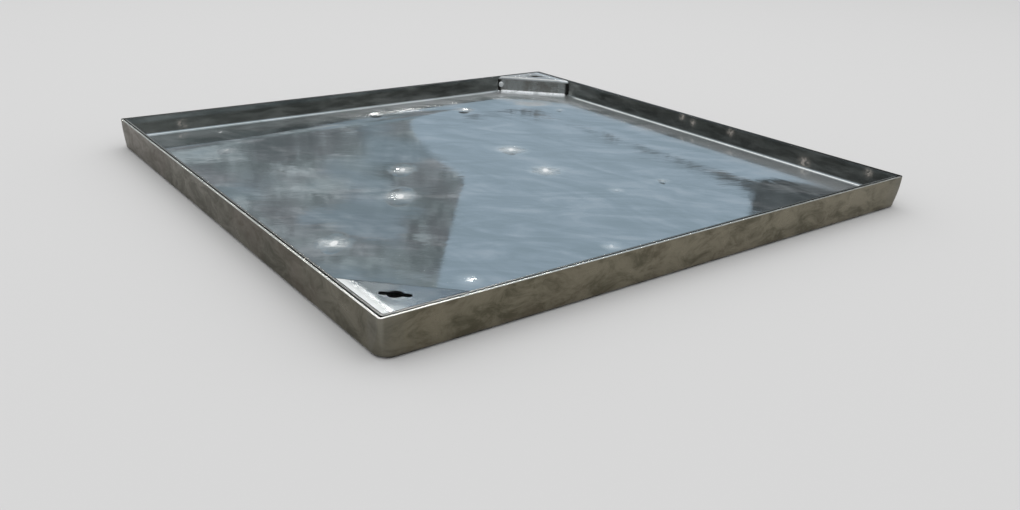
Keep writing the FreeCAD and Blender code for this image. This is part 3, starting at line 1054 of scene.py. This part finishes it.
@dataclass
class Seal:
    """The rubber that the tray rests on. Its CAD strips keep their shape and take the rubber."""

    sides: tuple[Side, ...] = tuple(Side)

    def dress(self, finishes: Finishes) -> None:
        """Gives each strip its finish.

        Args:
            finishes: The cover's finishes.
        """
        for side in self.sides:
            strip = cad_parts[f"seal_strip_{side.value}"]
            strip.data.materials.clear()
            strip.data.materials.append(finishes.seal)
            LOG.info("%s has its rubber", strip.name)


@dataclass(frozen=True)
class CloudShape:
    """A paler or darker place among the clouds: how far left of the heading it is and its height,
    as sines, how far it reaches in the clouds' scale, and how much paler it is."""

    leftward: float
    rise: float
    reach: float
    paler: float

    @property
    def ahead(self) -> float:
        """How far ahead it is, as a cosine."""
        return math.sqrt(1.0 - self.leftward**2 - self.rise**2)


CLOUD_SHAPES: tuple[CloudShape, ...] = (
    CloudShape(0.330, 0.262, 1.0, 0.10),
    CloudShape(0.223, 0.252, 1.3, -0.09),
    CloudShape(0.262, 0.270, 0.9, -0.06),
    CloudShape(0.200, 0.305, 1.1, 0.07),
    CloudShape(0.262, 0.330, 1.2, 0.01),
    CloudShape(0.222, 0.334, 0.9, -0.05),
    CloudShape(0.092, 0.366, 1.0, -0.06),
    CloudShape(0.080, 0.338, 0.8, -0.05),
    CloudShape(0.092, 0.280, 0.8, -0.04),
    CloudShape(0.215, 0.372, 1.1, 0.02),
    CloudShape(0.135, 0.300, 0.6, -0.06),
)


@dataclass(frozen=True)
class Sky:
    """What the bright metal mirrors. At the heading a pale patch of open sky stands between a dark
    edge on the left and a ragged line of leaves. The rest is a mottled grey, with brighter sky
    higher up. Matt things get an even light, and the camera sees the plain backdrop."""

    heading: float
    backdrop: Colour
    open_sky: Colour = (0.40, 0.50, 0.585)
    cloud_light: Colour = (0.44, 0.505, 0.53)
    cloud_dark: Colour = (0.135, 0.158, 0.166)
    leaves_light: Colour = (0.170, 0.190, 0.200)
    leaves_dark: Colour = (0.075, 0.085, 0.090)
    ground_haze: Colour = (0.13, 0.14, 0.135)
    cold: Colour = (0.30, 0.385, 0.45)
    dusk: Colour = (0.235, 0.225, 0.250)
    high: Colour = (0.46, 0.54, 0.60)
    band: Colour = (1.24, 1.24, 1.22)
    glow: Colour = (1.34, 1.34, 1.32)
    sun: Colour = (40.0, 39.0, 37.0)
    sun_heading: float = 57.5
    sun_rise: float = 32.0
    sun_spread: float = 2.2
    glow_heading: float = 90.0
    glow_rise: float = 38.0
    glow_spread: float = 34.0
    horizon: float = 0.205
    patch_right: float = -0.282
    patch_notch: float = 0.303
    patch_corner: float = 0.055
    patch_slope: float = 0.29
    patch_bulge: float = 0.065
    patch_bulge_height: float = 0.067
    leaf_line: float = 0.236
    leaf_start: float = -0.05
    leaf_slope: float = 0.27
    leaf_wobble: float = 0.036
    end_wobble: float = 0.10
    softness: float = 0.0015
    cloud_scale: tuple[float, float] = (11.0, 34.0)
    clouds: Pattern = Pattern(2.1, 6.0, 0.68, 2.6)
    streaks: Pattern = Pattern(1.0, 3.0, 0.6, 0.8, (1.8, 0.25, 1.0))
    dusk_places: Pattern = Pattern(1.5, 3.0)
    cold_places: Pattern = Pattern(0.9)
    foliage: Pattern = Pattern(2.2, 5.0, 0.7, 0.8)

    def wall_side(self, sh: Shader, slant: Socket, rise: Socket) -> Socket:
        """Which side of the dark edge a direction is on.

        Args:
            sh: The world's helper.
            slant: How far left of the heading the direction is, as a tangent.
            rise: Its height, as a sine.

        Returns:
            1 to the right of the edge and 0 to its left.
        """
        above = sh.most(sh.less(rise, self.patch_notch), 0.0)
        below = sh.less(self.patch_notch, rise)
        below = sh.math("DIVIDE", below, self.patch_bulge_height, clamp=True)
        rest = sh.rest(below)
        bulge = sh.rest(sh.times(rest, rest))
        edge = sh.plus(self.patch_corner, sh.times(above, self.patch_slope))
        edge = sh.plus(edge, sh.times(bulge, self.patch_bulge))
        return sh.ramp(sh.less(edge, slant), -self.softness, self.softness)

    def over_leaves(self, sh: Shader, slant: Socket, rise: Socket, ragged: Socket) -> Socket:
        """Which side of the leaves' ragged edge a direction is on.

        Args:
            sh: The world's helper.
            slant: How far left of the heading the direction is, as a tangent.
            rise: Its height, as a sine.
            ragged: A fine pattern that roughens the edge.

        Returns:
            1 in the open and 0 among the leaves.
        """
        to_right = sh.most(sh.less(self.leaf_start, slant), 0.0)
        line = sh.plus(self.leaf_line, sh.times(to_right, self.leaf_slope))
        line = sh.plus(line, sh.swing(ragged, self.leaf_wobble))
        over = sh.ramp(sh.less(rise, line), -self.softness, self.softness)
        end = sh.less(sh.plus(slant, sh.swing(ragged, self.end_wobble)), self.patch_right)
        before_end = sh.ramp(end, -2 * self.softness, 2 * self.softness)
        return sh.times(over, before_end)

    def build(self) -> None:
        """Makes the world."""
        world = bpy.data.worlds.new("studio_sky")
        bpy.context.scene.world = world
        world.use_nodes = True
        sh = Shader(world.node_tree)
        direction = sh.node("TexCoord").outputs["Generated"]
        _, _, rise = sh.axes(direction)
        turn = math.radians(self.heading)
        leftward = sh.along(direction, (-math.sin(turn), math.cos(turn), 0.0))
        ahead = sh.along(direction, (math.cos(turn), math.sin(turn), 0.0))
        slant = sh.math("DIVIDE", leftward, sh.most(ahead, 0.05))

        wide, tall = self.cloud_scale
        flat = sh.vector(sh.times(leftward, wide), sh.times(rise, tall), ahead)
        clouds = sh.noise(flat, self.clouds)
        streaks = sh.noise(flat, self.streaks)
        cover = sh.plus(sh.times(clouds, 0.66), sh.times(streaks, 0.34))
        for shape in CLOUD_SHAPES:
            place = (shape.leftward * wide, shape.rise * tall, shape.ahead)
            distance = sh.away_from(flat, place)
            cover = sh.plus(cover, sh.ramp(distance, 0.0, shape.reach, shape.paler, 0.0))
        low_sky = sh.mix(sh.ramp(cover, 0.41, 0.58), self.cloud_dark, self.cloud_light)
        dusk = sh.ramp(sh.noise(flat, self.dusk_places), 0.46, 0.60, 0.0, 0.40)
        low_sky = sh.mix(dusk, low_sky, self.dusk)
        cold = sh.ramp(sh.noise(flat, self.cold_places), 0.50, 0.62, 0.0, 0.7)
        low_sky = sh.mix(cold, low_sky, self.cold)
        ragged = sh.noise(flat, self.foliage)
        right_side = sh.times(sh.ramp(ahead, 0.15, 0.3), self.wall_side(sh, slant, rise))
        in_open = self.over_leaves(sh, slant, rise, ragged)
        leaves = sh.mix(sh.ramp(ragged, 0.42, 0.64), self.leaves_dark, self.leaves_light)
        low_sky = sh.mix(right_side, low_sky, sh.mix(in_open, leaves, self.open_sky))
        above_ground = sh.ramp(rise, self.horizon - 0.045, self.horizon + 0.02)
        low_sky = sh.mix(above_ground, self.ground_haze, low_sky)

        sky = sh.mix(sh.ramp(rise, 0.50, 0.72), low_sky, self.high)
        front = sh.ramp(ahead, 0.0, 0.45, 0.05, 1.0)
        sky = sh.mix(sh.times(front, sh.ramp(rise, 0.60, 0.78)), sky, self.band)
        sky = sh.mix(sh.ramp(rise, 0.92, 0.96), sky, self.high)
        spread = self.glow_spread
        glow = sh.around(direction, self.glow_heading, self.glow_rise, spread, 0.4 * spread)
        sky = sh.mix(sh.times(glow, sh.ramp(rise, 0.45, 0.50)), sky, self.glow)
        sun = sh.around(direction, self.sun_heading, self.sun_rise, self.sun_spread, 0.5)
        sky = sh.mix(sun, sky, self.sun)

        path = sh.node("LightPath")
        seen = sh.mix(path.outputs["Is Glossy Ray"], (1.0, 1.0, 1.0), sky)
        seen = sh.mix(path.outputs["Is Camera Ray"], seen, self.backdrop)
        shader = sh.node("Background", {"Color": seen, "Strength": 1.0})
        sh.finish(shader.outputs[0], "World")


@dataclass
class Studio:
    """The pale floor, the soft light and the camera."""

    camera_place: Triple = (-0.5951, -0.8285, 0.3203)
    heading: float = 52.79
    dip: float = 22.46
    roll: float = 2.06
    focal_length: float = 31.98
    sensor_width: float = 36.0
    lamp_place: Triple = (0.3, 0.5, 2.6)
    lamp_size: float = 3.0
    lamp_power: float = 15.5
    floor_reach: float = 60.0
    backdrop: Colour = (0.635, 0.635, 0.635)
    floor_colour: Colour = (0.605, 0.605, 0.605)

    def floor(self) -> None:
        """Lays the plain pale floor."""
        shape = bmesh.new()
        bmesh.ops.create_grid(shape, x_segments=1, y_segments=1, size=self.floor_reach)
        data = bpy.data.meshes.new("studio_floor")
        shape.to_mesh(data)
        shape.free()
        made, sh = new_material("studio_floor")
        sh.finish(sh.node("BsdfDiffuse", {"Color": self.floor_colour}).outputs[0])
        data.materials.append(made)
        ground = bpy.data.objects.new("studio_floor", data)
        bpy.context.scene.collection.objects.link(ground)
        ground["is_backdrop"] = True

    def lamp(self) -> None:
        """Hangs a soft square lamp that points at the cover."""
        light = bpy.data.lights.new("key_lamp", "AREA")
        light.size = self.lamp_size
        light.energy = self.lamp_power
        lamp = bpy.data.objects.new("key_lamp", light)
        bpy.context.scene.collection.objects.link(lamp)
        lamp.location = self.lamp_place
        lamp.rotation_euler = (-lamp.location).to_track_quat("-Z", "Y").to_euler()

    def camera(self) -> None:
        """Sets the camera where the photograph was taken from."""
        heading, dip, roll = (math.radians(angle) for angle in (self.heading, self.dip, self.roll))
        flat = math.cos(dip)
        ahead = Vector((math.cos(heading) * flat, math.sin(heading) * flat, -math.sin(dip)))
        level = Vector((math.sin(heading), -math.cos(heading), 0.0))
        right = level * math.cos(roll) + level.cross(ahead) * math.sin(roll)
        up = right.cross(ahead)
        data = bpy.data.cameras.new("photo_camera")
        data.lens = self.focal_length
        data.sensor_width = self.sensor_width
        camera = bpy.data.objects.new("photo_camera", data)
        bpy.context.scene.collection.objects.link(camera)
        turn = Matrix((right, up, -ahead)).transposed().to_4x4()
        camera.matrix_world = Matrix.Translation(self.camera_place) @ turn
        bpy.context.scene.camera = camera

    def build(self) -> None:
        """Makes the whole studio."""
        self.floor()
        Sky(self.heading, self.backdrop).build()
        self.lamp()
        self.camera()
        bpy.context.scene.view_settings.view_transform = "Standard"
        LOG.info("studio ready")


def main() -> None:
    """Builds the cover's pieces in order, then the studio round them."""
    logging.basicConfig(level=logging.INFO, format="%(message)s")
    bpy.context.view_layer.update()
    sizes = CoverSizes.from_frame()
    finishes = Finishes(sizes)
    Frame().build(finishes)
    Seal().dress(finishes)
    Tray().build(finishes)
    for which in Corner:
        LiftingCorner(which, sizes).build(finishes)
    Studio().build()


if __name__ == "__main__":
    main()
